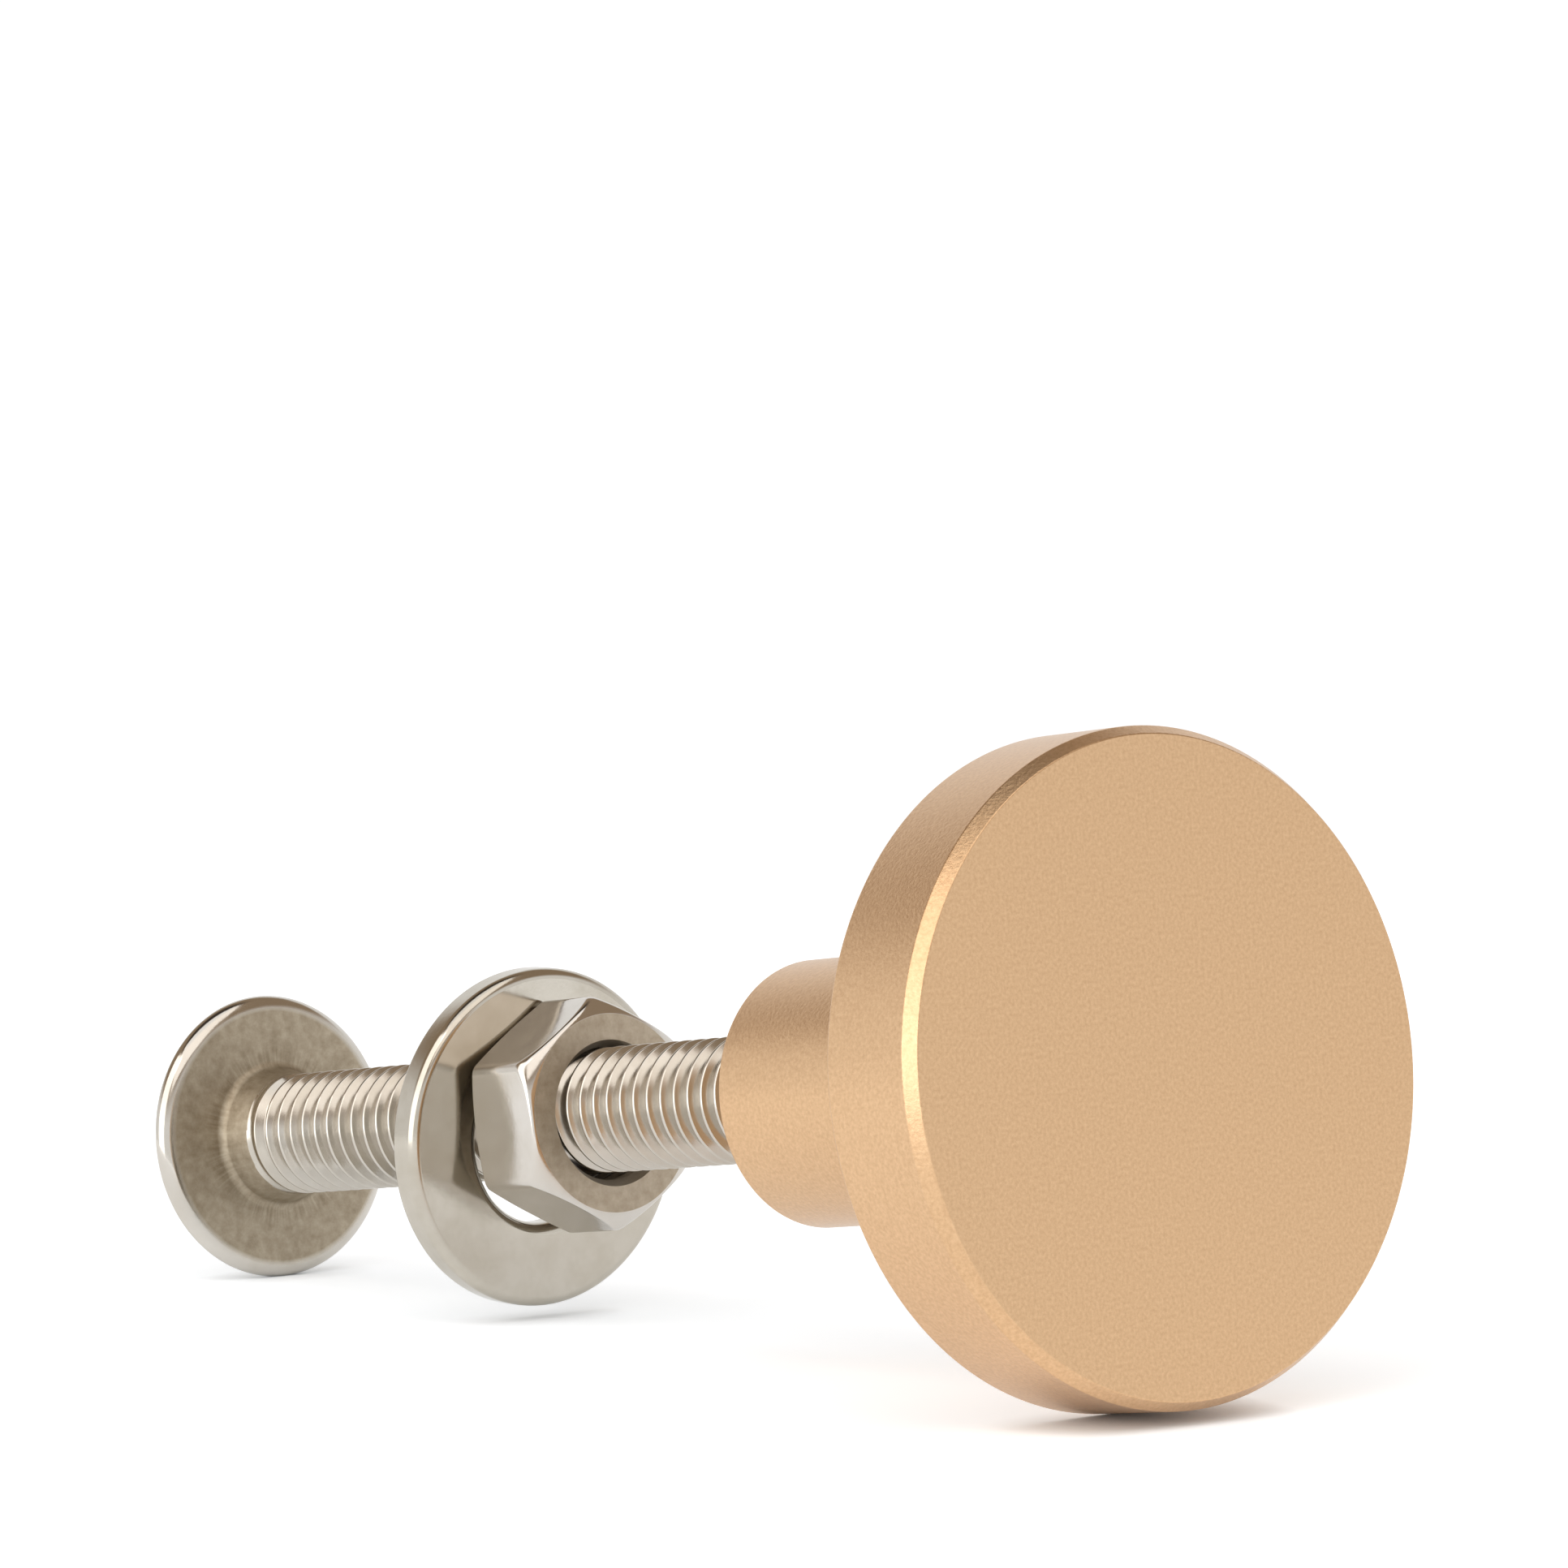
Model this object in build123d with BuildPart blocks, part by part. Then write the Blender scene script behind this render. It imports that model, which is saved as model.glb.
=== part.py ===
"""Cabinet knob: a turned disc on a neck, with its fixing screw, washer and nut.

Millimetres. The knob's axis is Y. The origin is the centre of the neck's end, the face that seats
on the door: the knob's face looks along -Y, and the screw runs out along +Y. +Z is up.
"""

import os
from math import cos, radians, sin, tan

from build123d import *

# Knob, turned from one bar
disc_diameter = 30.0
disc_thickness = 5.6
face_chamfer_depth = 0.6
face_chamfer_width = 0.4
back_edge_break = 0.15
neck_diameter = 12.3
neck_length = 18.2
neck_edge_break = 0.1

# Thread shared by the knob's hole, the screw and the nut
thread_diameter = 6.0
thread_clearance = 0.02
thread_engaged = 7.8
hole_run_out = 4.0
hole_mouth_chamfer = 0.5
drill_point_angle = 118.0

# Screw with a low domed head
screw_length = 50.0
screw_point_chamfer = 0.8
head_diameter = 14.0
head_height = 3.0
head_rim_height = 0.75
head_edge_radius = 0.45
head_brow_chamfer = 0.25
collar_diameter = 6.9
collar_height = 1.4

# Cross recess in the head
recess_span = 6.4
recess_span_at_floor = 2.8
recess_wing = 1.9
recess_wing_at_floor = 1.2
recess_depth = 2.9

# Hexagon nut, run part of the way along the screw
nut_from_seat = 15.4
nut_across_flats = 9.8
nut_height = 4.5
nut_face_diameter = 9.4
nut_front_chamfer_angle = 38.0
nut_rear_chamfer_angle = 20.0
nut_corner_radius = 0.5
nut_bore = 6.3
nut_countersink = 6.95
nut_countersink_angle = 120.0
nut_turn = 2.6

# Washer, hanging on the thread with its top against the nut
washer_diameter = 16.2
washer_hole = 8.2
washer_thickness = 1.5
washer_edge_radius = 0.5
washer_hole_break = 0.3
washer_burr_break = 0.15
washer_lean = 6.7
washer_gap = 0.05

# Places that follow from the sizes
shank_radius = thread_diameter / 2 - thread_clearance
disc_back = -neck_length
disc_face = disc_back - disc_thickness
screw_tip = -thread_engaged
head_seat = screw_tip + screw_length
head_top = head_seat + head_height
nut_rear = nut_from_seat + nut_height
nut_drop = nut_bore / 2 - shank_radius - thread_clearance
lean_cos = cos(radians(washer_lean))
lean_sin = sin(radians(washer_lean))

# The front edge of the washer's hole lies on the thread, and its front face leans on the nut's rear face
hole_edge_setback = washer_thickness / 2 - washer_hole_break
hole_edge_height = washer_hole / 2 * lean_cos - hole_edge_setback * lean_sin
washer_drop = hole_edge_height - shank_radius - thread_clearance
nut_rear_top = nut_face_diameter / 2 - nut_drop
washer_centre = (
    nut_rear
    + (washer_gap + washer_thickness / 2) / lean_cos
    + (nut_rear_top + washer_drop) * lean_sin / lean_cos
)

os.makedirs("parts", exist_ok=True)

# Knob: disc and neck in one revolved section, then the blind hole with its drill point
with BuildPart() as knob:
    with BuildSketch(Plane.XY):
        with BuildLine():
            Polyline(
                (0, disc_face),
                (disc_diameter / 2 - face_chamfer_width, disc_face),
                (disc_diameter / 2, disc_face + face_chamfer_depth),
                (disc_diameter / 2, disc_back),
                (neck_diameter / 2, disc_back),
                (neck_diameter / 2, 0),
                (0, 0),
                close=True,
            )
        make_face()
    revolve(axis=Axis.Y)

    rings = knob.edges().filter_by(GeomType.CIRCLE)
    disc_back_rings = rings.filter_by_position(Axis.Y, disc_back, disc_back)
    disc_back_edge = disc_back_rings.sort_by(SortBy.RADIUS)[-1]
    neck_end_edge = rings.sort_by(Axis.Y)[-1]
    chamfer(disc_back_edge, back_edge_break)
    chamfer(neck_end_edge, neck_edge_break)

    hole_radius = thread_diameter / 2
    hole_depth = thread_engaged + hole_run_out
    drill_point = hole_radius / tan(radians(drill_point_angle / 2))
    with BuildSketch(Plane.XY):
        with BuildLine():
            Polyline(
                (0, 0),
                (hole_radius + hole_mouth_chamfer, 0),
                (hole_radius, -hole_mouth_chamfer),
                (hole_radius, -hole_depth),
                (0, -hole_depth - drill_point),
                close=True,
            )
        make_face()
    revolve(axis=Axis.Y, mode=Mode.SUBTRACT)

# Screw: shank, cone under the head and domed head in one section, then the tapered cross recess
with BuildPart() as screw:
    head_radius = head_diameter / 2
    dome_start = head_seat + head_rim_height
    with BuildSketch(Plane.XY) as screw_section:
        with BuildLine():
            Polyline(
                (0, head_top),
                (0, screw_tip),
                (shank_radius - screw_point_chamfer, screw_tip),
                (shank_radius, screw_tip + screw_point_chamfer),
                (shank_radius, head_seat - collar_height),
                (collar_diameter / 2, head_seat),
                (head_radius, head_seat),
                (head_radius, dome_start),
            )
            dome_rise = head_top - dome_start
            dome_radius = (head_radius**2 + dome_rise**2) / (2 * dome_rise)
            RadiusArc((head_radius, dome_start), (0, head_top), -dome_radius)
        make_face()
        under_corner = screw_section.vertices().group_by(Axis.X)[-1].sort_by(Axis.Y)[0]
        fillet(under_corner, head_edge_radius)
        brow_corner = screw_section.vertices().group_by(Axis.X)[-1].sort_by(Axis.Y)[-1]
        chamfer(brow_corner, head_brow_chamfer)
    revolve(axis=Axis.Y)

    for turn in (0, 90):
        with BuildSketch(Plane(origin=(0, head_top, 0), z_dir=(0, 1, 0))):
            Rectangle(recess_span, recess_wing, rotation=turn)
        with BuildSketch(Plane(origin=(0, head_top - recess_depth, 0), z_dir=(0, 1, 0))):
            Rectangle(recess_span_at_floor, recess_wing_at_floor, rotation=turn)
        loft(mode=Mode.SUBTRACT)

# Nut: a hexagon trimmed by a cone at each end, bored and countersunk from both sides
with BuildPart() as nut:
    nut_front_plane = Plane(origin=(0, nut_from_seat, -nut_drop), x_dir=(1, 0, 0), z_dir=(0, -1, 0))
    nut_rear_plane = Plane(origin=(0, nut_rear, -nut_drop), x_dir=(1, 0, 0), z_dir=(0, 1, 0))
    with BuildSketch(nut_front_plane):
        RegularPolygon(nut_across_flats / 2, 6, major_radius=False, rotation=90 + nut_turn)
    extrude(amount=-nut_height)
    fillet(nut.edges().filter_by(Axis.Y), nut_corner_radius)

    nut_face_radius = nut_face_diameter / 2
    front_slope = tan(radians(nut_front_chamfer_angle))
    rear_slope = tan(radians(nut_rear_chamfer_angle))
    cone_reach = nut_height / (front_slope + rear_slope)
    with BuildSketch(Plane.XY.offset(-nut_drop)):
        with BuildLine():
            Polyline(
                (0, nut_from_seat),
                (nut_face_radius, nut_from_seat),
                (nut_face_radius + cone_reach, nut_from_seat + cone_reach * front_slope),
                (nut_face_radius, nut_rear),
                (0, nut_rear),
                close=True,
            )
        make_face()
    revolve(axis=Axis((0, 0, -nut_drop), (0, 1, 0)), mode=Mode.INTERSECT)

    for face_plane in (nut_front_plane, nut_rear_plane):
        with Locations(face_plane):
            CounterSinkHole(
                nut_bore / 2,
                nut_countersink / 2,
                depth=nut_height,
                counter_sink_angle=nut_countersink_angle,
            )

# Washer: a stamped ring, rounded where the die drew its front edge in and slightly broken elsewhere
with BuildPart() as washer:
    washer_plane = Plane(
        origin=(0, washer_centre, -washer_drop), x_dir=(1, 0, 0), z_dir=(0, lean_cos, lean_sin)
    )
    with BuildSketch(washer_plane.offset(-washer_thickness / 2)):
        Circle(washer_diameter / 2)
        Circle(washer_hole / 2, mode=Mode.SUBTRACT)
    extrude(amount=washer_thickness)

    washer_axis = Axis(washer_plane.origin, washer_plane.z_dir)
    faces_along_axis = washer.faces().filter_by(GeomType.PLANE).sort_by(washer_axis)
    front_edges = faces_along_axis[0].edges().sort_by(SortBy.RADIUS)
    rear_edges = faces_along_axis[-1].edges()
    fillet(front_edges[-1], washer_edge_radius)
    chamfer(front_edges[0], washer_hole_break)
    chamfer(rear_edges, washer_burr_break)

knob.part.label = "knob"
export_step(knob.part, "parts/knob.step")
screw.part.label = "screw"
export_step(screw.part, "parts/screw.step")
nut.part.label = "nut"
export_step(nut.part, "parts/nut.step")
washer.part.label = "washer"
export_step(washer.part, "parts/washer.step")
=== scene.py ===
"""Looks of a cabinet knob that lies on a white floor with its fixing hardware still on the screw.

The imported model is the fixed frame: metres, the knob's axis along Y, its face towards -Y and +Z up.
Sizes here are millimetres. Each piece is modelled in millimetres and scaled into the frame at the end.
"""

import logging
from collections.abc import Callable
from dataclasses import dataclass, field
from enum import Enum
from functools import partial
from math import atan2, cos, hypot, pi, radians, sin, tan, tau

import bmesh
import bpy
from mathutils import Matrix, Vector


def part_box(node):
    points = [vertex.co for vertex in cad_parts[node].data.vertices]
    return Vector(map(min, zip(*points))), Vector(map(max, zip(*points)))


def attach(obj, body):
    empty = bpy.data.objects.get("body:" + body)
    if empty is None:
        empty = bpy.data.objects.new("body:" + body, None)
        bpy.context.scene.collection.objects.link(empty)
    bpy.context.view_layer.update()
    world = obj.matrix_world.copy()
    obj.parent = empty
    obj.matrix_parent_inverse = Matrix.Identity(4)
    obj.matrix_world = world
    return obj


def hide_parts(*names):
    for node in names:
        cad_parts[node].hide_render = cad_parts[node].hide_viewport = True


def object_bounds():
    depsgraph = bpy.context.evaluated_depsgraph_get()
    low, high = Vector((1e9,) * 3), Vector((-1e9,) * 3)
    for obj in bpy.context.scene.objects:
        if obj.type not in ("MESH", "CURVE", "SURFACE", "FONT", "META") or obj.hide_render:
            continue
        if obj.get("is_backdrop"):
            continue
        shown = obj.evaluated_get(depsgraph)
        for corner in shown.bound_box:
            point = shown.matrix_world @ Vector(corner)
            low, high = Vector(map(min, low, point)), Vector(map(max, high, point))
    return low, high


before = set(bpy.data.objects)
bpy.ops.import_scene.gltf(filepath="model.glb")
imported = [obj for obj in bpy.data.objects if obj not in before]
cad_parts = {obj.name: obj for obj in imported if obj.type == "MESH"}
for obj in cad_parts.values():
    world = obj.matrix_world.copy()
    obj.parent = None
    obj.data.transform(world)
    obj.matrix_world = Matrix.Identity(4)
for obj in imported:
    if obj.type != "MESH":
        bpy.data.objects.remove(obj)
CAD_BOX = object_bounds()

MM = 0.001
# Millimetres within which vertices are merged, slivers dissolved and places taken as the same
WELD = 0.001
SLIVER = 0.0001
NEAR = 0.002
# Share of the way into its own face at which a corner is judged
INTO_FACE = 0.05
ROUND_STEPS = 192
THREAD_STEPS = 96
SHARP_ANGLE = radians(32)
DULL = "dull"

log = logging.getLogger("cabinet_knob")


class Slot(Enum):
    """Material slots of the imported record."""

    ALUMINIUM = "anodised_aluminium"
    STEEL = "stainless_steel"


class MixSocket(Enum):
    """Places of a Mix node's colour sockets, which share their names with those of other types."""

    FIRST = 6
    SECOND = 7
    RESULT = 2


def linear(hex_colour: str) -> tuple[float, float, float, float]:
    """Turns an sRGB hex colour into linear RGBA."""
    channels = [int(hex_colour[start : start + 2], 16) / 255 for start in (1, 3, 5)]
    return (*[c / 12.92 if c <= 0.04045 else ((c + 0.055) / 1.055) ** 2.4 for c in channels], 1.0)


def add_node(
    tree: bpy.types.NodeTree, kind: str, settings: dict | None = None, links: dict | None = None
) -> bpy.types.Node:
    """Adds one node with its settings and links.

    Args:
        tree: The node tree that takes the node.
        kind: The node's type name, without its ShaderNode prefix.
        settings: Values by property name, or by an input's name or place.
        links: Output sockets to link, by an input's name or place.

    Returns:
        The new node.
    """
    node = tree.nodes.new("ShaderNode" + kind)
    for key, value in (settings or {}).items():
        if isinstance(key, str) and hasattr(node, key):
            setattr(node, key, value)
        else:
            node.inputs[key].default_value = value
    for key, socket in (links or {}).items():
        tree.links.new(socket, node.inputs[key])
    return node


def new_material(name: str) -> tuple[bpy.types.Material, bpy.types.NodeTree, bpy.types.Node]:
    """Makes an empty node material.

    Args:
        name: The material's name.

    Returns:
        The material, its node tree and its output node.
    """
    material = bpy.data.materials.new(name)
    material.use_nodes = True
    material.node_tree.nodes.clear()
    return material, material.node_tree, add_node(material.node_tree, "OutputMaterial")


def per_metre(size_mm: float) -> float:
    """Gives the texture scale at which a pattern repeats about every size_mm."""
    return 1 / (size_mm * MM)


@dataclass(frozen=True)
class BlastedAnodising:
    """Bead-blasted and dyed aluminium oxide over bare metal.

    The beads leave a fine even grain of dimples. It blurs reflections into a satin sheen, and single
    dimples glint where a light and a dark reflection meet.
    """

    name: str = "anodised_aluminium_bead_blasted"
    colour: str = "#d8b48c"
    deep_colour: str = "#c8a37c"
    roughness: float = 0.34
    # The clear oxide over the dye whitens the sheen
    oxide: float = 0.2
    # Real dimples are about half this wide, which is too fine to show in the render
    dimple: float = 0.17
    dimple_depth: float = 0.014
    # Heights of the grain between which the dye turns from deep to pale
    dye_range: tuple[float, float] = (0.3, 0.7)

    def material(self) -> bpy.types.Material:
        """Builds the finish from a fine dimple grain.

        Returns:
            The material.
        """
        material, tree, output = new_material(self.name)
        place = add_node(tree, "TexCoord").outputs["Object"]
        dimples = add_node(
            tree,
            "TexNoise",
            {"Scale": per_metre(self.dimple), "Detail": 2.0, "Roughness": 0.6},
            {"Vector": place},
        )
        share = add_node(
            tree,
            "MapRange",
            {"From Min": self.dye_range[0], "From Max": self.dye_range[1]},
            {"Value": dimples.outputs["Fac"]},
        )
        dye = add_node(
            tree,
            "Mix",
            {
                "data_type": "RGBA",
                MixSocket.FIRST.value: linear(self.deep_colour),
                MixSocket.SECOND.value: linear(self.colour),
            },
            {"Factor": share.outputs[0]},
        )
        bump = add_node(
            tree,
            "Bump",
            {"Strength": 1.0, "Distance": self.dimple_depth * MM},
            {"Height": dimples.outputs["Fac"]},
        )
        shader = add_node(
            tree,
            "BsdfPrincipled",
            {
                "Metallic": 1.0,
                "Roughness": self.roughness,
                "Coat Weight": self.oxide,
                "Coat Roughness": self.roughness,
            },
            {"Base Color": dye.outputs[MixSocket.RESULT.value], "Normal": bump.outputs[0]},
        )
        tree.links.new(shader.outputs[0], output.inputs[0])
        return material


@dataclass(frozen=True)
class FormedSteel:
    """Stainless steel, cold formed and tumbled bright.

    Tumbling leaves a near mirror with soft dents and fine rub marks, so that reflections stay clear and
    waver a little. Where tumbling doesn't reach, the die leaves a brownish skin with short radial marks
    and only a soft sheen. The mesh's attribute tells how much of that skin is left at each place; in
    the nut's bore that dullness is painted shade. The marks also darken their ring round the screw's
    collar as a whole, partly as painted shade over the collar's highlight.
    """

    name: str = "stainless_steel_tumbled"
    colour: str = "#c9c4bc"
    smudge_colour: str = "#c3bdb3"
    dull_colour: str = "#b8ad9a"
    stain_colour: str = "#948773"
    bright_roughness: float = 0.09
    smear_roughness: float = 0.19
    dull_roughness: float = 0.54
    smear: float = 3.0
    # Heights of the smears between which bright steel turns smudged
    smear_range: tuple[float, float] = (0.4, 0.65)
    dent: float = 1.4
    dent_depth: float = 0.005
    # Real rub marks are finer than this, too fine to show in the render
    rub: float = 0.22
    rub_depth: float = 0.0016
    stain: float = 0.55
    # Heights of the stains between which the dull skin turns brown
    stain_range: tuple[float, float] = (0.28, 0.76)
    # Width of the die's marks at the middle of their ring, and its inner and outer radius
    die_mark: float = 0.1625
    die_ring: tuple[float, float] = (3.0, 4.8)
    # How much the marks add to the stains, and the height of a mark that adds nothing. Most marks stand
    # above that height, so the whole ring comes out darker: the die's real marks, and partly painted
    # shade that tones down the collar's highlight.
    die_mark_strength: float = 0.75
    faint_mark: float = 0.35

    def material(self) -> bpy.types.Material:
        """Builds the finish from dents and rub marks, and a stained skin where the attribute asks,
        which in the nut's bore is painted shade.

        Returns:
            The material.
        """
        material, tree, output = new_material(self.name)
        place = add_node(tree, "TexCoord").outputs["Object"]
        dull = add_node(tree, "Attribute", {"attribute_name": DULL}).outputs["Fac"]
        stains = add_node(
            tree,
            "TexNoise",
            {"Scale": per_metre(self.stain), "Detail": 6.0, "Roughness": 0.65},
            {"Vector": place},
        )
        # The die's marks run out from the Y axis
        across = add_node(
            tree, "VectorMath", {"operation": "MULTIPLY", 1: (1, 0, 1)}, {0: place}
        ).outputs[0]
        radius = add_node(tree, "VectorMath", {"operation": "LENGTH"}, {0: across}).outputs["Value"]
        outward = add_node(tree, "VectorMath", {"operation": "NORMALIZE"}, {0: across}).outputs[0]
        middle, half = sum(self.die_ring) / 2, (self.die_ring[1] - self.die_ring[0]) / 2
        marks = add_node(
            tree, "TexNoise", {"Scale": middle / self.die_mark, "Detail": 1.0}, {"Vector": outward}
        )
        from_middle = add_node(
            tree, "Math", {"operation": "SUBTRACT", 1: middle * MM}, {0: radius}
        )
        distance = add_node(tree, "Math", {"operation": "ABSOLUTE"}, {0: from_middle.outputs[0]})
        on_ring = add_node(
            tree,
            "MapRange",
            {"From Max": half * MM, "To Min": self.die_mark_strength, "To Max": 0.0},
            {"Value": distance.outputs[0]},
        )
        # Marks above faint_mark darken the ring round the collar: real die marks, and partly painted
        # shade over the collar's highlight
        marks_and_ring_shade = add_node(
            tree, "Math", {"operation": "SUBTRACT", 1: self.faint_mark}, {0: marks.outputs["Fac"]}
        )
        stained = add_node(
            tree,
            "Math",
            {"operation": "MULTIPLY_ADD"},
            {0: marks_and_ring_shade.outputs[0], 1: on_ring.outputs[0], 2: stains.outputs["Fac"]},
        )
        share = add_node(
            tree,
            "MapRange",
            {"From Min": self.stain_range[0], "From Max": self.stain_range[1]},
            {"Value": stained.outputs[0]},
        )
        skin = add_node(
            tree,
            "Mix",
            {
                "data_type": "RGBA",
                MixSocket.FIRST.value: linear(self.dull_colour),
                MixSocket.SECOND.value: linear(self.stain_colour),
            },
            {"Factor": share.outputs[0]},
        )
        smears = add_node(
            tree,
            "TexNoise",
            {"Scale": per_metre(self.smear), "Detail": 6.0, "Roughness": 0.6},
            {"Vector": place},
        )
        smeared = add_node(
            tree,
            "MapRange",
            {"From Min": self.smear_range[0], "From Max": self.smear_range[1]},
            {"Value": smears.outputs["Fac"]},
        ).outputs[0]
        bright = add_node(
            tree,
            "MapRange",
            {"To Min": self.bright_roughness, "To Max": self.smear_roughness},
            {"Value": smeared},
        )
        clean = add_node(
            tree,
            "Mix",
            {
                "data_type": "RGBA",
                MixSocket.FIRST.value: linear(self.colour),
                MixSocket.SECOND.value: linear(self.smudge_colour),
            },
            {"Factor": smeared},
        )
        tone = add_node(
            tree,
            "Mix",
            {"data_type": "RGBA"},
            {
                "Factor": dull,
                MixSocket.FIRST.value: clean.outputs[MixSocket.RESULT.value],
                MixSocket.SECOND.value: skin.outputs[MixSocket.RESULT.value],
            },
        )
        roughness = add_node(
            tree,
            "MapRange",
            {"To Max": self.dull_roughness},
            {"Value": dull, "To Min": bright.outputs[0]},
        )
        dents = add_node(
            tree, "TexNoise", {"Scale": per_metre(self.dent), "Detail": 1.0}, {"Vector": place}
        )
        rubs = add_node(
            tree, "TexNoise", {"Scale": per_metre(self.rub), "Detail": 3.0}, {"Vector": place}
        )
        soft = add_node(
            tree,
            "Bump",
            {"Strength": 1.0, "Distance": self.dent_depth * MM},
            {"Height": dents.outputs["Fac"]},
        )
        fine = add_node(
            tree,
            "Bump",
            {"Strength": 1.0, "Distance": self.rub_depth * MM},
            {"Height": rubs.outputs["Fac"], "Normal": soft.outputs[0]},
        )
        shader = add_node(
            tree,
            "BsdfPrincipled",
            {"Metallic": 1.0},
            {
                "Base Color": tone.outputs[MixSocket.RESULT.value],
                "Roughness": roughness.outputs[0],
                "Normal": fine.outputs[0],
            },
        )
        tree.links.new(shader.outputs[0], output.inputs[0])
        return material


def spun(
    section: list[tuple[float, float]], closed: bool = False, steps: int = ROUND_STEPS
) -> bmesh.types.BMesh:
    """Spins a section one full turn about the Y axis.

    Args:
        section: Corners as (radius, y), in order.
        closed: Joins the last corner to the first.
        steps: Steps of the full turn.

    Returns:
        A mesh with its doubles merged and its normals outward.
    """
    bm = bmesh.new()
    corners = [bm.verts.new((radius, y, 0)) for radius, y in section]
    ends = corners[1:] + corners[:1] if closed else corners[1:]
    sides = [bm.edges.new(pair) for pair in zip(corners, ends)]
    bmesh.ops.spin(
        bm,
        geom=corners + sides,
        cent=(0, 0, 0),
        axis=(0, 1, 0),
        angle=tau,
        steps=steps,
        use_merge=True,
    )
    tidy(bm)
    return bm


def tidy(bm: bmesh.types.BMesh) -> None:
    """Merges a mesh's doubles and turns its faces outward.

    Args:
        bm: The mesh to change.
    """
    bmesh.ops.remove_doubles(bm, verts=bm.verts[:], dist=WELD)
    bmesh.ops.dissolve_degenerate(bm, edges=bm.edges[:], dist=SLIVER)
    bmesh.ops.recalc_face_normals(bm, faces=bm.faces[:])


def ring(bm: bmesh.types.BMesh, radius: float, y: float) -> list[bmesh.types.BMEdge]:
    """Finds the edges of one circle about the Y axis.

    Args:
        bm: The mesh to look in.
        radius: The circle's radius.
        y: The circle's place along the axis.

    Returns:
        The circle's edges.
    """
    on_ring = {
        v
        for v in bm.verts
        if abs(hypot(v.co.x, v.co.z) - radius) < NEAR and abs(v.co.y - y) < NEAR
    }
    return [e for e in bm.edges if on_ring.issuperset(e.verts)]


def soften(
    bm: bmesh.types.BMesh, edges: list[bmesh.types.BMEdge], radius: float, segments: int = 3
) -> None:
    """Rounds edges.

    Args:
        bm: The mesh to change.
        edges: The edges to round.
        radius: How far the rounding reaches from the edge.
        segments: Steps across the rounding.
    """
    bmesh.ops.bevel(
        bm,
        geom=edges,
        offset=radius,
        offset_type="OFFSET",
        segments=segments,
        profile=0.5,
        affect="EDGES",
        material=-1,
        clamp_overlap=True,
    )


def cut_out(blank: bmesh.types.BMesh, cutters: list[bmesh.types.BMesh]) -> bmesh.types.BMesh:
    """Cuts closed meshes out of another one.

    Args:
        blank: The mesh that is cut.
        cutters: The meshes that are cut out of it.

    Returns:
        What is left of the blank. The meshes given are freed.
    """
    objects = []
    for bm in (blank, *cutters):
        mesh = bpy.data.meshes.new("cutting")
        bm.to_mesh(mesh)
        bm.free()
        objects.append(bpy.data.objects.new("cutting", mesh))
        bpy.context.scene.collection.objects.link(objects[-1])
    for cutter in objects[1:]:
        modifier = objects[0].modifiers.new("cut", "BOOLEAN")
        modifier.operation = "DIFFERENCE"
        modifier.solver = "MANIFOLD"
        modifier.object = cutter
    graph = bpy.context.evaluated_depsgraph_get()
    left = bmesh.new()
    left.from_object(objects[0], graph)
    for obj in objects:
        bpy.data.meshes.remove(obj.data)
    tidy(left)
    return left


def add_dullness(bm: bmesh.types.BMesh, dullness: Callable[[float, float], float]) -> None:
    """Stores how dull the surface is at each corner of each face.

    A corner is judged a little way into its own face, so that faces that share an edge can differ.

    Args:
        bm: The mesh to mark.
        dullness: Gives the dullness, from 0 to 1, for a radius about the Y axis and a place along it.
    """
    layer = bm.loops.layers.float.new(DULL)
    for face in bm.faces:
        middle = face.calc_center_median_weighted()
        for loop in face.loops:
            place = loop.vert.co.lerp(middle, INTO_FACE)
            loop[layer] = dullness(place.xz.length, place.y)


def join(bm: bmesh.types.BMesh, other: bmesh.types.BMesh) -> None:
    """Adds another mesh to a mesh.

    Args:
        bm: The mesh that is added to.
        other: The mesh that is added, which is freed.
    """
    mesh = bpy.data.meshes.new("joining")
    other.to_mesh(mesh)
    other.free()
    bm.from_mesh(mesh)
    bpy.data.meshes.remove(mesh)


def weighted_normals(bm: bmesh.types.BMesh) -> list[Vector]:
    """Weighs the faces round each vertex by area, so that large faces stay flat beside roundings.

    Args:
        bm: The mesh, with its faces turned outward.

    Returns:
        A normal for each vertex, and zero, which means the usual normal, at sharp edges.
    """
    bm.normal_update()
    normals = []
    for vert in bm.verts:
        if any(not e.is_manifold or e.calc_face_angle() > SHARP_ANGLE for e in vert.link_edges):
            normals.append(Vector())
        else:
            total = sum((f.normal * f.calc_area() for f in vert.link_faces), Vector())
            normals.append(total.normalized())
    return normals


def finished_piece(
    name: str,
    node: str,
    slot: Slot,
    bm: bmesh.types.BMesh,
    finish: BlastedAnodising | FormedSteel,
) -> bpy.types.Object:
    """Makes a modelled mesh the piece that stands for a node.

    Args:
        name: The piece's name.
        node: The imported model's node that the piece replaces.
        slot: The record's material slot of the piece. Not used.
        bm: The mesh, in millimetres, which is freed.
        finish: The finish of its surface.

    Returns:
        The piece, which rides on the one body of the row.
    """
    normals = weighted_normals(bm)
    bmesh.ops.scale(bm, vec=(MM, MM, MM), verts=bm.verts[:])
    mesh = bpy.data.meshes.new(name)
    bm.to_mesh(mesh)
    bm.free()
    mesh.shade_smooth()
    mesh.set_sharp_from_angle(angle=SHARP_ANGLE)
    mesh.normals_split_custom_set([normals[loop.vertex_index] for loop in mesh.loops])
    mesh.materials.append(finish.material())
    piece = bpy.data.objects.new(name, mesh)
    bpy.context.scene.collection.objects.link(piece)
    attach(piece, "root")
    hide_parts(node)
    return piece


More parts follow.
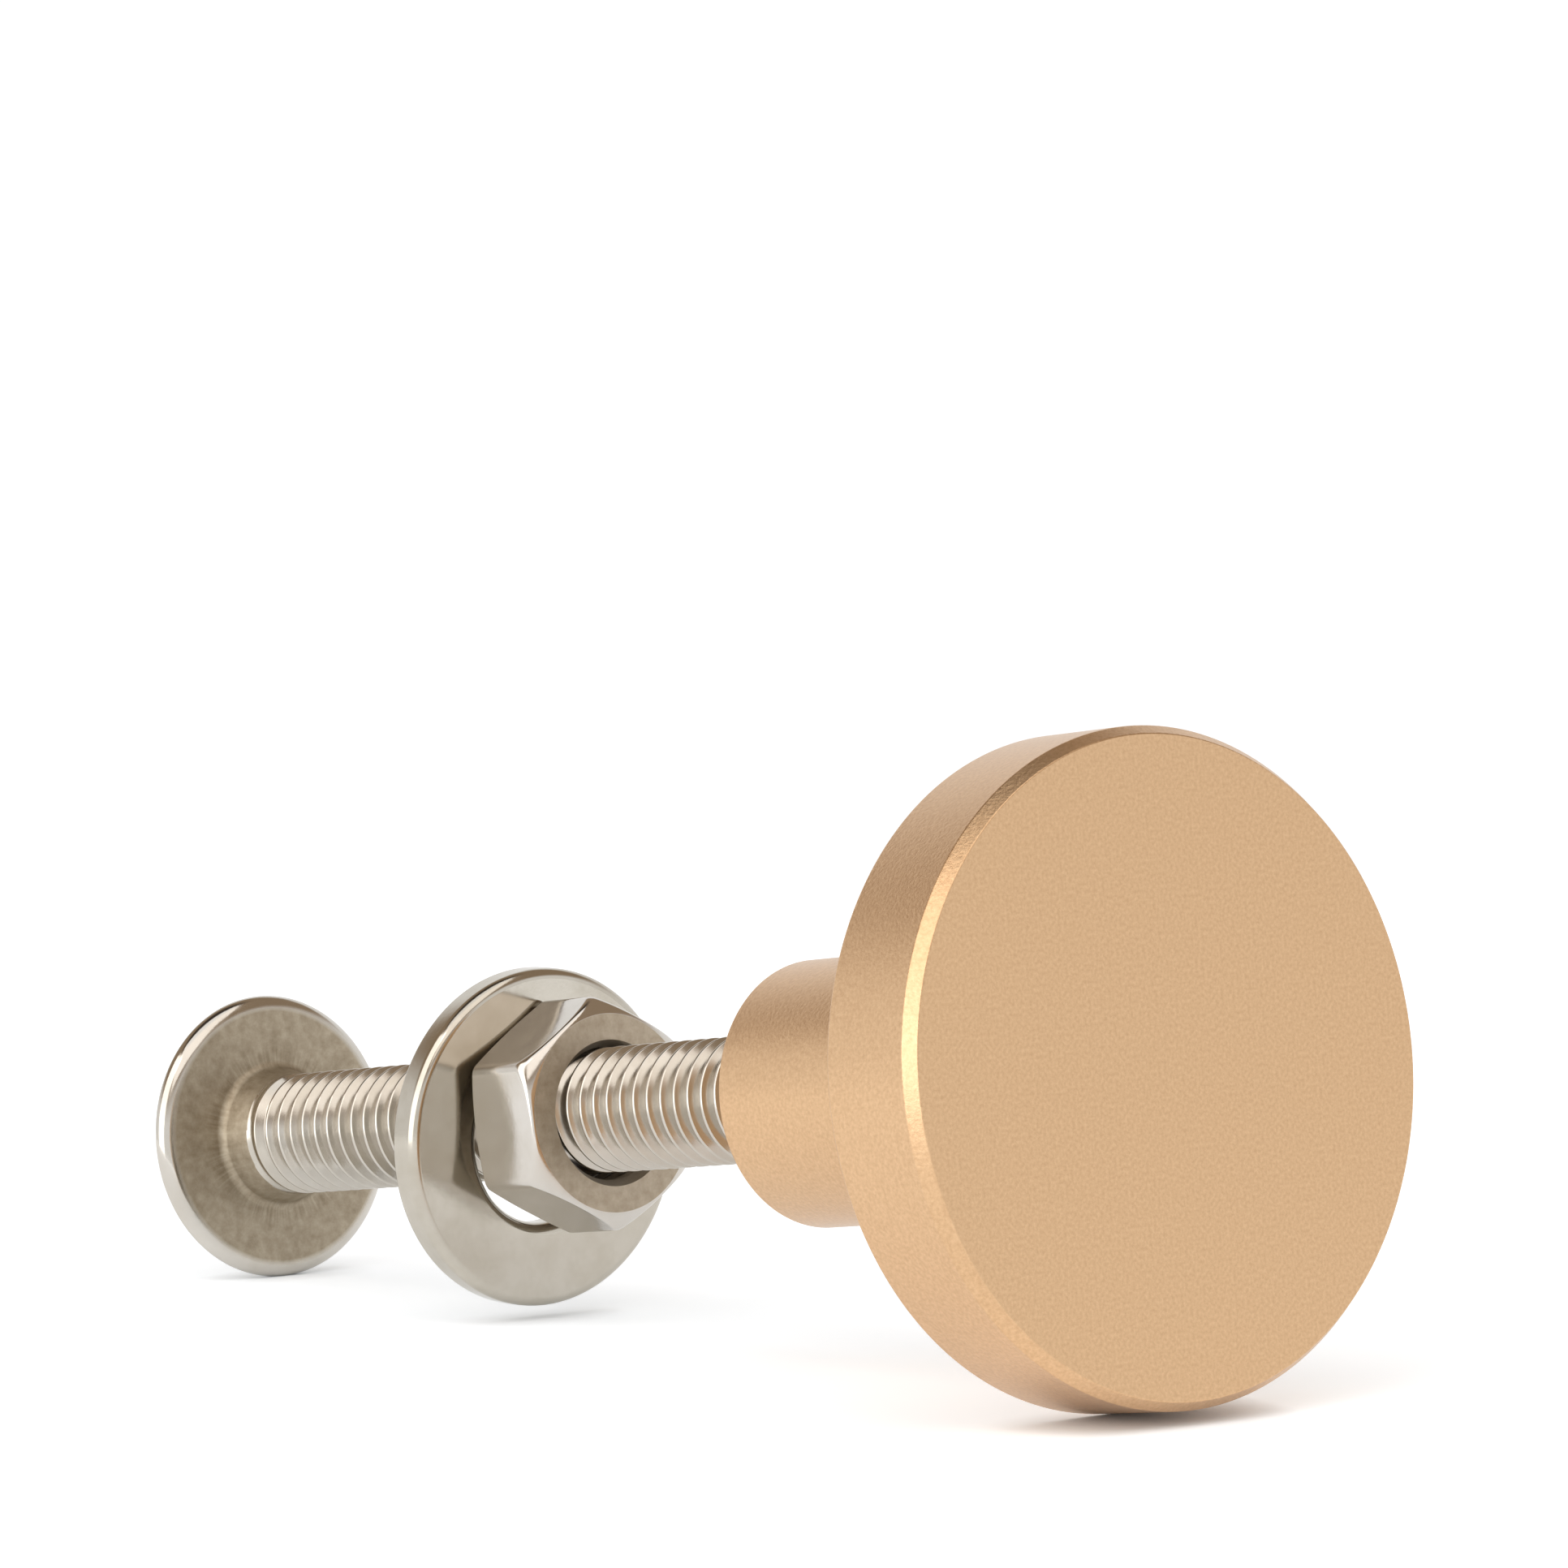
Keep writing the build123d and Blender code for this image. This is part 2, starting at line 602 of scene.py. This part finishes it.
@dataclass
class TurnedKnob:
    """The knob: a disc with a chamfered face on a neck, turned from one bar, with a blind hole."""

    disc_thickness: float = 5.6
    chamfer_depth: float = 0.6
    chamfer_width: float = 0.4
    neck_radius: float = 6.15
    hole_radius: float = 3.0
    hole_depth: float = 11.8
    hole_mouth: float = 0.5
    drill_point: float = 1.8
    edge_round: float = 0.05
    back_round: float = 0.15
    neck_end_round: float = 0.1
    neck_root_round: float = 0.25
    finish: BlastedAnodising = BlastedAnodising()

    def build(self) -> bpy.types.Object:
        """Spins the section, rounds its edges and dresses the knob.

        Returns:
            The finished piece.
        """
        low, high = (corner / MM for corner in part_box("knob"))
        radius, face, seat = high.x, low.y, high.y
        back = face + self.disc_thickness
        bm = spun(
            [
                (0, face),
                (radius - self.chamfer_width, face),
                (radius, face + self.chamfer_depth),
                (radius, back),
                (self.neck_radius, back),
                (self.neck_radius, seat),
                (self.hole_radius + self.hole_mouth, seat),
                (self.hole_radius, seat - self.hole_mouth),
                (self.hole_radius, seat - self.hole_depth),
                (0, seat - self.hole_depth - self.drill_point),
            ]
        )
        soften(bm, ring(bm, radius - self.chamfer_width, face), self.edge_round)
        soften(bm, ring(bm, radius, face + self.chamfer_depth), self.edge_round)
        soften(bm, ring(bm, radius, back), self.back_round)
        soften(bm, ring(bm, self.neck_radius, back), self.neck_root_round)
        soften(bm, ring(bm, self.neck_radius, seat), self.neck_end_round)
        return finished_piece("turned_knob", "knob", Slot.ALUMINIUM, bm, self.finish)


@dataclass(frozen=True)
class ThreadForm:
    """A right-hand rolled thread: narrow rounded crests, rounded roots and straight flanks."""

    pitch: float = 1.0
    flank: float = radians(26)
    crest_round: float = 0.11
    crest_steps: int = 3
    root_round: float = 0.2
    root_steps: int = 4

    def section(self, crest: float, inward: bool) -> list[tuple[float, float]]:
        """Gives one pitch of the thread, from the middle of a crest to the next one.

        Args:
            crest: The radius at the crests.
            inward: The groove goes towards the axis, as on a screw, and else away from it.

        Returns:
            Points as (radius, y).
        """
        half = self.pitch / 2
        turn = pi / 2 - self.flank
        rounds = self.crest_round + self.root_round
        depth = rounds * (1 - cos(turn)) + (half - rounds * sin(turn)) / tan(self.flank)
        crest_angles = [turn * step / self.crest_steps for step in range(self.crest_steps + 1)]
        root_angles = [turn * (2 * step / self.root_steps - 1) for step in range(self.root_steps + 1)]
        leaving = [
            (self.crest_round * (1 - cos(angle)), self.crest_round * sin(angle) - half)
            for angle in crest_angles
        ]
        groove = [
            (depth - self.root_round * (1 - cos(angle)), self.root_round * sin(angle))
            for angle in root_angles
        ]
        arriving = [(drop, -y) for drop, y in reversed(leaving)]
        profile = leaving + groove + arriving
        return [(crest - drop if inward else crest + drop, y) for drop, y in profile]

    def wound(self, crest: float, inward: bool, low: float, high: float) -> bmesh.types.BMesh:
        """Winds the thread about the Y axis and cuts it square at both ends.

        Args:
            crest: The radius at the crests.
            inward: The groove goes towards the axis, as on a screw.
            low: Where the thread starts.
            high: Where the thread ends.

        Returns:
            The thread's surface, open at both ends.
        """
        bm = bmesh.new()
        start = low - self.pitch
        points = [bm.verts.new((radius, start + y, 0)) for radius, y in self.section(crest, inward)]
        sides = [bm.edges.new(pair) for pair in zip(points, points[1:])]
        bmesh.ops.spin(
            bm,
            geom=points + sides,
            cent=(0, 0, 0),
            axis=(0, 1, 0),
            dvec=(0, self.pitch / THREAD_STEPS, 0),
            angle=tau,
            steps=THREAD_STEPS,
            use_merge=False,
        )
        one_turn = bm.verts[:] + bm.edges[:] + bm.faces[:]
        for turn in range(1, int((high - start) / self.pitch) + 2):
            copy = bmesh.ops.duplicate(bm, geom=one_turn)["geom"]
            moved = [item for item in copy if isinstance(item, bmesh.types.BMVert)]
            bmesh.ops.translate(bm, vec=(0, turn * self.pitch, 0), verts=moved)
        bmesh.ops.remove_doubles(bm, verts=bm.verts[:], dist=WELD)
        for y, keep_above in ((low, True), (high, False)):
            bmesh.ops.bisect_plane(
                bm,
                geom=bm.verts[:] + bm.edges[:] + bm.faces[:],
                plane_co=(0, y, 0),
                plane_no=(0, 1, 0),
                clear_inner=keep_above,
                clear_outer=not keep_above,
            )
        return bm


def open_rim(bm: bmesh.types.BMesh, low: float, high: float) -> list[bmesh.types.BMEdge]:
    """Finds the open edges of a mesh between two places along the Y axis.

    Args:
        bm: The mesh to look in.
        low: The lower place.
        high: The higher place.

    Returns:
        The open edges.
    """
    return [e for e in bm.edges if e.is_boundary and all(low < v.co.y < high for v in e.verts)]


@dataclass
class MachineScrew:
    """The screw: a rolled thread under a low domed head with a cross recess."""

    thread: ThreadForm = ThreadForm()
    crest_radius: float = 2.98
    point_chamfer: float = 0.8
    head_rim: float = 0.75
    head_seat: float = 42.2
    head_height: float = 3.0
    dome_steps: int = 14
    collar_radius: float = 3.45
    collar_height: float = 1.4
    under_reach: float = 0.8
    under_rise: float = 0.6
    under_steps: int = 8
    # Width over which the dull skin ends at the underside's edge
    under_fade: float = 0.32
    brow_round: float = 0.18
    collar_round: float = 0.32
    recess_span: float = 6.4
    recess_span_at_floor: float = 2.8
    recess_wing: float = 1.9
    recess_wing_at_floor: float = 1.2
    recess_depth: float = 2.9
    # How far the recess's cutters stand out of the dome, and the depth under it that counts as recess
    recess_cutter_rise: float = 0.5
    recess_lip: float = 0.01
    thread_dullness: float = 0.12
    recess_dullness: float = 0.9
    thread_run_out: float = 1.3
    finish: FormedSteel = FormedSteel(name="stainless_steel_tumbled_screw")

    def shank(self, tip: float, top: float) -> bmesh.types.BMesh:
        """Winds the thread, lets it run out under the head and grinds its point.

        Args:
            tip: The screw's point.
            top: Where the collar under the head ends the thread.

        Returns:
            The shank, closed at its point and open at its top.
        """
        bm = self.thread.wound(self.crest_radius, True, tip, top)
        for vert in bm.verts:
            radius = vert.co.xz.length
            left = min(1.0, (top - vert.co.y) / self.thread_run_out)
            run_out = self.crest_radius - (self.crest_radius - radius) * left
            reach = self.crest_radius - self.point_chamfer + vert.co.y - tip
            vert.co.xz *= min(run_out, reach) / radius
        bmesh.ops.edgeloop_fill(bm, edges=open_rim(bm, tip - NEAR, tip + NEAR))
        return bm

    def wing_cutter(self, top: float, turn: float) -> bmesh.types.BMesh:
        """Makes one tapered wing of the cross recess, as a solid to cut out.

        Args:
            top: The top of the head.
            turn: The wing's turn about the axis.

        Returns:
            The wing, which stands a little out of the head.
        """
        rise = self.recess_cutter_rise
        bm = bmesh.new()
        made = bmesh.ops.create_cube(bm, size=1.0)["verts"]
        for end, span, wing in (
            (1, self.recess_span, self.recess_wing),
            (-1, self.recess_span_at_floor, self.recess_wing_at_floor),
        ):
            level = [v for v in made if v.co.y * end > 0]
            grown = 1 + (rise / self.recess_depth if end > 0 else 0)
            drift_x = span - self.recess_span_at_floor
            drift_z = wing - self.recess_wing_at_floor
            bmesh.ops.scale(
                bm,
                vec=(
                    self.recess_span_at_floor + drift_x * grown,
                    1,
                    self.recess_wing_at_floor + drift_z * grown,
                ),
                verts=level,
            )
            height = top + rise if end > 0 else top - self.recess_depth
            bmesh.ops.translate(bm, vec=(0, height - end / 2, 0), verts=level)
        bmesh.ops.rotate(bm, verts=bm.verts[:], matrix=Matrix.Rotation(turn, 3, "Y"))
        return bm

    def dome_drop(self, head_radius: float, radius: float) -> float:
        """Gives how far the head's dome has come down from its top.

        Args:
            head_radius: The head's radius, where the dome ends.
            radius: The radius that is asked for.

        Returns:
            The drop along the axis.
        """
        rise = self.head_height - self.head_rim
        dome_radius = (head_radius**2 + rise**2) / (2 * rise)
        return dome_radius - (dome_radius**2 - radius**2) ** 0.5

    def head(self, radius: float) -> bmesh.types.BMesh:
        """Spins the collar and the domed head and cuts the cross recess.

        Args:
            radius: The head's radius.

        Returns:
            The head, open at the collar's end.
        """
        seat = self.head_seat
        top = seat + self.head_height
        brow = seat + self.head_rim
        dome = [
            (reach, top - self.dome_drop(radius, reach))
            for reach in [radius * (1 - step / self.dome_steps) for step in range(self.dome_steps + 1)]
        ]
        under = [
            (
                radius - self.under_reach * (1 - sin(angle)),
                seat + self.under_rise * (1 - cos(angle)),
            )
            for angle in [pi / 2 * step / self.under_steps for step in range(self.under_steps + 1)]
        ]
        collar_end = seat - self.collar_height
        bm = spun(
            [
                (0, collar_end),
                (self.crest_radius, collar_end),
                (self.collar_radius, seat),
                *under,
                *dome,
            ]
        )
        soften(bm, ring(bm, self.collar_radius, seat), self.collar_round, segments=6)
        soften(bm, ring(bm, radius, brow), self.brow_round, segments=5)
        wings = [self.wing_cutter(top, turn) for turn in (0, pi / 2)]
        bm = cut_out(bm, wings)
        end_cap = [f for f in bm.faces if abs(f.calc_center_median().y - collar_end) < NEAR]
        bmesh.ops.delete(bm, geom=end_cap, context="FACES")
        return bm

    def dullness(self, head_radius: float, radius: float, y: float) -> float:
        """Gives how much of the die's dull skin is left at one place.

        Args:
            head_radius: The head's radius.
            radius: The place's distance from the axis.
            y: The place along the axis.

        Returns:
            The dullness, from 0 to 1.
        """
        if y < self.head_seat - self.collar_height - NEAR:
            return self.thread_dullness
        if y > self.head_seat + self.under_rise:
            dome = self.head_seat + self.head_height - self.dome_drop(head_radius, radius)
            recessed = radius < self.recess_span / 2 and y < dome - self.recess_lip
            return self.recess_dullness if recessed else 0.0
        flat_edge = head_radius - self.under_reach
        return min(1.0, max(0.0, 1 - (radius - flat_edge) / self.under_fade))

    def build(self) -> bpy.types.Object:
        """Joins shank and head, marks the dull skin and dresses the screw.

        Returns:
            The finished piece.
        """
        low, high = (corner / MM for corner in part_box("screw"))
        collar_end = self.head_seat - self.collar_height
        bm = self.shank(low.y, collar_end)
        join(bm, self.head(high.x))
        bmesh.ops.bridge_loops(bm, edges=open_rim(bm, collar_end - NEAR, collar_end + NEAR))
        tidy(bm)
        add_dullness(bm, partial(self.dullness, high.x))
        return finished_piece("machine_screw", "screw", Slot.STEEL, bm, self.finish)


@dataclass
class HexNut:
    """The nut: a domed blank pressed to a hexagon, bored and countersunk from both sides."""

    across_flats: float = 9.8
    face_radius: float = 4.7
    blank_radius: float = 5.9
    # The front chamfer steepens from the face to the corners
    front_slopes: tuple[float, float] = (0.3, 1.425)
    rear_slope: float = tan(radians(20))
    slope_steps: int = 40
    round_steps: int = 384
    bore_radius: float = 3.15
    countersink_radius: float = 3.475
    countersink_depth: float = 0.5
    corner_round: float = 0.55
    edge_blend: float = 0.2
    turn: float = radians(2.6)
    thread: ThreadForm = ThreadForm()
    # Dullness in the bore is painted shade: it darkens the gap round the screw's thread
    bore_painted_shade: float = 0.7
    finish: FormedSteel = FormedSteel(
        name="stainless_steel_tumbled_nut",
        colour="#cdc8c1",
        smudge_colour="#c8c2b9",
        dull_colour="#c4b9a8",
        stain_colour="#a69884",
        die_mark_strength=0.0,
    )

    def hexagon(self, angle: float) -> float:
        """Gives the radius of the hexagon with rounded corners.

        Args:
            angle: The angle about the axis.

        Returns:
            The distance from the axis to the hexagon's side.
        """
        side, half = self.across_flats / 2, pi / 6
        from_middle = abs((angle - self.turn + half) % (2 * half) - half)
        inner = side - self.corner_round
        if side * tan(from_middle) < inner * tan(half):
            return side / cos(from_middle)
        centre, from_corner = inner / cos(half), half - from_middle
        across = (self.corner_round**2 - (centre * sin(from_corner)) ** 2) ** 0.5
        return centre * cos(from_corner) + across

    def press(self, bm: bmesh.types.BMesh) -> None:
        """Draws a round blank in to the hexagon, with a small rounding at the rim of each flat.

        Args:
            bm: The blank, which is changed.
        """
        for vert in bm.verts:
            radius = vert.co.xz.length
            side = self.hexagon(atan2(vert.co.z, vert.co.x))
            # Deepest at the rim, and nothing where the blank and the hexagon are edge_blend apart
            near = max(0.0, 1 - abs(radius - side) / self.edge_blend)
            vert.co.xz *= (min(radius, side) - near**2 * self.edge_blend / 4) / radius

    def dullness(self, front: float, rear: float, radius: float, y: float) -> float:
        """Gives how much of the dull skin is left at one place: all of it on both faces. In the bore
        the dullness is painted shade.

        Args:
            front: The front face's place along the axis.
            rear: The rear face's place along the axis.
            radius: The place's distance from the axis.
            y: The place along the axis.

        Returns:
            The dullness, from 0 to 1.
        """
        if not front + NEAR < y < rear - NEAR:
            return 1.0
        # The bore gets painted shade, the flats none
        return self.bore_painted_shade if radius < self.face_radius - NEAR else 0.0

    def build(self) -> bpy.types.Object:
        """Spins the blank, presses it to a hexagon, winds the thread in its bore and dresses the nut.

        Returns:
            The finished piece.
        """
        low, high = (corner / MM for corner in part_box("nut"))
        front, rear = low.y, high.y
        width = self.blank_radius - self.face_radius
        gentle, steep = self.front_slopes
        shares = [step / self.slope_steps for step in range(self.slope_steps + 1)]
        dome = [
            (
                self.face_radius + width * share,
                front + width * share * (gentle + (steep - gentle) * share / 2),
            )
            for share in shares
        ]
        cone = [
            (self.face_radius + width * share, rear - width * share * self.rear_slope)
            for share in reversed(shares)
        ]
        sink = self.countersink_depth
        bm = spun(
            [
                (self.bore_radius, front + sink),
                (self.countersink_radius, front),
                *dome,
                *cone,
                (self.countersink_radius, rear),
                (self.bore_radius, rear - sink),
            ],
            steps=self.round_steps,
        )
        self.press(bm)
        join(bm, self.thread.wound(self.bore_radius, False, front + sink, rear - sink))
        for mouth in (front + sink, rear - sink):
            bmesh.ops.bridge_loops(bm, edges=open_rim(bm, mouth - NEAR, mouth + NEAR))
        tidy(bm)
        add_dullness(bm, partial(self.dullness, front, rear))
        bmesh.ops.translate(bm, vec=(0, 0, (low.z + high.z) / 2), verts=bm.verts[:])
        return finished_piece("hexagon_nut", "nut", Slot.STEEL, bm, self.finish)


@dataclass
class FlatWasher:
    """The washer: a stamped ring, drawn in at its front edge, that hangs on the thread."""

    hole_radius: float = 4.1
    thickness: float = 1.5
    lean: float = radians(6.7)
    front_round: float = 0.5
    hole_round: float = 0.55
    rear_round: float = 0.15
    finish: FormedSteel = FormedSteel(
        name="stainless_steel_tumbled_washer",
        colour="#bfb9ae",
        smudge_colour="#b5aea1",
        bright_roughness=0.13,
    )

    def build(self) -> bpy.types.Object:
        """Spins the ring, rounds its edges, leans it against the nut and dresses it.

        Returns:
            The finished piece.
        """
        low, high = (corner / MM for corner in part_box("washer"))
        radius = (high.x - low.x) / 2
        front, rear = -self.thickness / 2, self.thickness / 2
        bm = spun(
            [(self.hole_radius, front), (radius, front), (radius, rear), (self.hole_radius, rear)],
            closed=True,
        )
        soften(bm, ring(bm, radius, front), self.front_round, segments=7)
        soften(bm, ring(bm, self.hole_radius, front), self.hole_round, segments=5)
        soften(bm, ring(bm, radius, rear), self.rear_round)
        soften(bm, ring(bm, self.hole_radius, rear), self.rear_round)
        bmesh.ops.rotate(bm, verts=bm.verts[:], matrix=Matrix.Rotation(self.lean, 3, "X"))
        bmesh.ops.translate(bm, vec=(low + high) / 2, verts=bm.verts[:])
        return finished_piece("flat_washer", "washer", Slot.STEEL, bm, self.finish)


@dataclass(frozen=True)
class Softbox:
    """A soft light that faces the object: its direction in degrees, its size and its radiance."""

    name: str
    azimuth: float
    elevation: float
    width: float
    height: float
    radiance: float
    distance: float = 600.0


@dataclass
class Studio:
    """The white floor, the soft light and the camera.

    The object lies on the disc's back rim and on the rim of the screw's head, so the floor is tilted in
    the object's frame. Angles of light and camera are measured from that floor.
    """

    disc_back: float = -18.2
    head_rim: float = 42.65
    floor_radius: float = 300.0
    floor_steps: int = 64
    floor_colour: str = "#eef2f6"
    # A glow that only the camera and reflections see lifts the paper to white, save close to the
    # object, where ambient occlusion within contact_reach takes the glow away and so paints the contact
    # shadow
    lift_colour: str = "#f0f5fa"
    floor_lift: float = 0.43
    far_lift: float = 0.62
    lift_reach: tuple[float, float] = (60.0, 220.0)
    contact_reach: float = 2.0
    contact_samples: int = 8
    # The backdrop ends at wall_top, as a slope up from the floor, and a low band runs all round
    wall_colour: str = "#ffffff"
    wall_strength: float = 1.05
    wall_top: float = 0.95
    wall_edge: float = 0.2
    wall_least_depth: float = 0.05
    low_band: tuple[float, float] = (0.28, 0.56)
    room_colour: str = "#a08c76"
    overhead_colour: str = "#453d36"
    overhead: tuple[float, float] = (0.86, 0.96)
    softboxes: tuple[Softbox, ...] = (
        Softbox("key_softbox", azimuth=-82, elevation=26, width=620, height=860, radiance=1.78),
        Softbox("top_softbox", azimuth=-8, elevation=62, width=560, height=640, radiance=1.25),
    )
    camera_azimuth: float = -40.06
    camera_elevation: float = 3.90
    camera_distance: float = 372.0
    camera_aim: Vector = field(default_factory=lambda: Vector((-0.75, -0.05, 14.28)))
    focal_pixels: float = 10000.0
    image_pixels: float = 1932.0
    sensor: float = 36.0

    def floor_turn(self) -> Matrix:
        """Gives the turn from a level floor to the one under the two rims."""
        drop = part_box("knob")[1].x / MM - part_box("screw")[1].x / MM
        return Matrix.Rotation(atan2(drop, self.head_rim - self.disc_back), 4, "X")

    def facing(self, azimuth: float, elevation: float) -> Matrix:
        """Gives the turn of a lamp or camera that looks at the object from the given side.

        Args:
            azimuth: Degrees round the object, with 0 looking along +Y.
            elevation: Degrees above the floor.

        Returns:
            The turn in the object's frame.
        """
        around = Matrix.Rotation(radians(azimuth), 4, "Z")
        return self.floor_turn() @ around @ Matrix.Rotation(radians(90 - elevation), 4, "X")

    def build_floor(self) -> bpy.types.Object:
        """Lays the floor under the rims.

        Returns:
            The floor, which is stage. It is clear from below, so that no view is blocked.
        """
        material, tree, output = new_material("white_paper_sweep")
        path = add_node(tree, "LightPath").outputs
        seen = add_node(
            tree,
            "Math",
            {"operation": "MAXIMUM"},
            {0: path["Is Camera Ray"], 1: path["Is Glossy Ray"]},
        )
        shown = add_node(
            tree,
            "Math",
            {"operation": "MAXIMUM"},
            {0: seen.outputs[0], 1: path["Is Transmission Ray"]},
        )
        # Ambient occlusion takes the glow away near the object, which paints its contact shadow on the
        # floor
        open_sky = add_node(
            tree,
            "AmbientOcclusion",
            {"samples": self.contact_samples, "Distance": self.contact_reach * MM},
        ).outputs["AO"]
        bare = add_node(
            tree, "Math", {"operation": "MULTIPLY"}, {0: shown.outputs[0], 1: open_sky}
        )
        place = add_node(tree, "TexCoord").outputs["Object"]
        distance = add_node(tree, "VectorMath", {"operation": "LENGTH"}, {0: place}).outputs["Value"]
        level = add_node(
            tree,
            "MapRange",
            {
                "From Min": self.lift_reach[0] * MM,
                "From Max": self.lift_reach[1] * MM,
                "To Min": self.floor_lift,
                "To Max": self.far_lift,
            },
            {"Value": distance},
        )
        lift = add_node(
            tree, "Math", {"operation": "MULTIPLY"}, {0: bare.outputs[0], 1: level.outputs[0]}
        )
        paper = add_node(tree, "BsdfDiffuse", {"Color": linear(self.floor_colour)})
        glow = add_node(
            tree, "Emission", {"Color": linear(self.lift_colour)}, {"Strength": lift.outputs[0]}
        )
        lit = add_node(tree, "AddShader", {}, {0: paper.outputs[0], 1: glow.outputs[0]})
        clear = add_node(tree, "BsdfTransparent")
        below = add_node(tree, "NewGeometry").outputs["Backfacing"]
        sides = add_node(
            tree, "MixShader", {}, {0: below, 1: lit.outputs[0], 2: clear.outputs[0]}
        )
        tree.links.new(sides.outputs[0], output.inputs[0])

        bm = bmesh.new()
        bmesh.ops.create_circle(
            bm, cap_ends=True, segments=self.floor_steps, radius=self.floor_radius
        )
        bmesh.ops.transform(bm, matrix=self.floor_turn(), verts=bm.verts[:])
        under_disc = Vector((0, self.disc_back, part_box("knob")[0].z / MM))
        bmesh.ops.translate(bm, vec=under_disc, verts=bm.verts[:])
        bmesh.ops.scale(bm, vec=(MM, MM, MM), verts=bm.verts[:])
        mesh = bpy.data.meshes.new("floor")
        bm.to_mesh(mesh)
        bm.free()
        mesh.materials.append(material)
        floor = bpy.data.objects.new("floor", mesh)
        bpy.context.scene.collection.objects.link(floor)
        floor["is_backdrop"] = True
        return floor

    def build_sky(self) -> None:
        """Makes the surroundings: a white backdrop behind the object and a dim room above it."""
        world = bpy.data.worlds.new("studio")
        world.use_nodes = True
        tree = world.node_tree
        tree.nodes.clear()
        output = add_node(tree, "OutputWorld")
        direction = add_node(tree, "TexCoord").outputs["Generated"]
        up = self.floor_turn() @ Vector((0, 0, 1))
        ahead = self.facing(self.camera_azimuth, 0) @ Vector((0, 0, -1))
        height = add_node(
            tree, "VectorMath", {"operation": "DOT_PRODUCT", 1: up}, {0: direction}
        ).outputs["Value"]
        depth = add_node(
            tree, "VectorMath", {"operation": "DOT_PRODUCT", 1: ahead}, {0: direction}
        ).outputs["Value"]
        in_front = add_node(
            tree, "Math", {"operation": "MAXIMUM", 1: self.wall_least_depth}, {0: depth}
        )
        slope = add_node(
            tree, "Math", {"operation": "DIVIDE"}, {0: height, 1: in_front.outputs[0]}
        )
        wall = add_node(
            tree,
            "MapRange",
            {
                "interpolation_type": "SMOOTHSTEP",
                "From Min": self.wall_top - self.wall_edge,
                "From Max": self.wall_top + self.wall_edge,
                "To Min": 1.0,
                "To Max": 0.0,
            },
            {"Value": slope.outputs[0]},
        )
        band = add_node(
            tree,
            "MapRange",
            {
                "interpolation_type": "SMOOTHSTEP",
                "From Min": self.low_band[0],
                "From Max": self.low_band[1],
                "To Min": 1.0,
                "To Max": 0.0,
            },
            {"Value": height},
        )
        share = add_node(
            tree, "Math", {"operation": "MAXIMUM"}, {0: wall.outputs[0], 1: band.outputs[0]}
        )
        overhead = add_node(
            tree,
            "MapRange",
            {
                "interpolation_type": "SMOOTHSTEP",
                "From Min": self.overhead[0],
                "From Max": self.overhead[1],
            },
            {"Value": height},
        )
        room = add_node(
            tree,
            "Mix",
            {
                "data_type": "RGBA",
                MixSocket.FIRST.value: linear(self.room_colour),
                MixSocket.SECOND.value: linear(self.overhead_colour),
            },
            {"Factor": overhead.outputs[0]},
        )
        tone = add_node(
            tree,
            "Mix",
            {"data_type": "RGBA", MixSocket.SECOND.value: linear(self.wall_colour)},
            {
                "Factor": share.outputs[0],
                MixSocket.FIRST.value: room.outputs[MixSocket.RESULT.value],
            },
        )
        walls = add_node(
            tree,
            "Background",
            {"Strength": self.wall_strength},
            {"Color": tone.outputs[MixSocket.RESULT.value]},
        )
        tree.links.new(walls.outputs[0], output.inputs[0])
        bpy.context.scene.world = world

    def build_softbox(self, box: Softbox) -> bpy.types.Object:
        """Hangs one soft light, turned to the object.

        Args:
            box: The light's place, size and radiance.

        Returns:
            The lamp.
        """
        lamp = bpy.data.lights.new(box.name, "AREA")
        lamp.shape = "RECTANGLE"
        lamp.size = box.width * MM
        lamp.size_y = box.height * MM
        lamp.energy = box.radiance * pi * lamp.size * lamp.size_y
        hung = bpy.data.objects.new(box.name, lamp)
        turn = self.facing(box.azimuth, box.elevation)
        hung.matrix_world = Matrix.Translation(turn @ Vector((0, 0, box.distance * MM))) @ turn
        bpy.context.scene.collection.objects.link(hung)
        return hung

    def build_camera(self) -> bpy.types.Object:
        """Sets the camera at the photograph's angle and focal length.

        Returns:
            The camera.
        """
        data = bpy.data.cameras.new("camera")
        data.sensor_width = self.sensor
        data.lens = self.focal_pixels / self.image_pixels * self.sensor
        camera = bpy.data.objects.new("camera", data)
        turn = self.facing(self.camera_azimuth, self.camera_elevation)
        eye = self.camera_aim + turn @ Vector((0, 0, self.camera_distance))
        camera.matrix_world = Matrix.Translation(eye * MM) @ turn
        bpy.context.scene.collection.objects.link(camera)
        bpy.context.scene.camera = camera
        return camera

    def build(self) -> None:
        """Builds the floor, the surroundings, the lamps and the camera."""
        self.build_floor()
        self.build_sky()
        for box in self.softboxes:
            self.build_softbox(box)
        self.build_camera()
        bpy.context.scene.view_settings.view_transform = "Standard"


def main() -> None:
    """Builds the pieces and the studio."""
    logging.basicConfig(level=logging.INFO, format="%(name)s: %(message)s")
    for maker in (TurnedKnob(), MachineScrew(), HexNut(), FlatWasher()):
        piece = maker.build()
        log.info("%s has %d faces", piece.name, len(piece.data.polygons))
    Studio().build()
    boxes = {"cad": CAD_BOX, "visual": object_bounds()}
    {name: [list(corner) for corner in box] for name, box in boxes.items()}


if __name__ == "__main__":
    main()
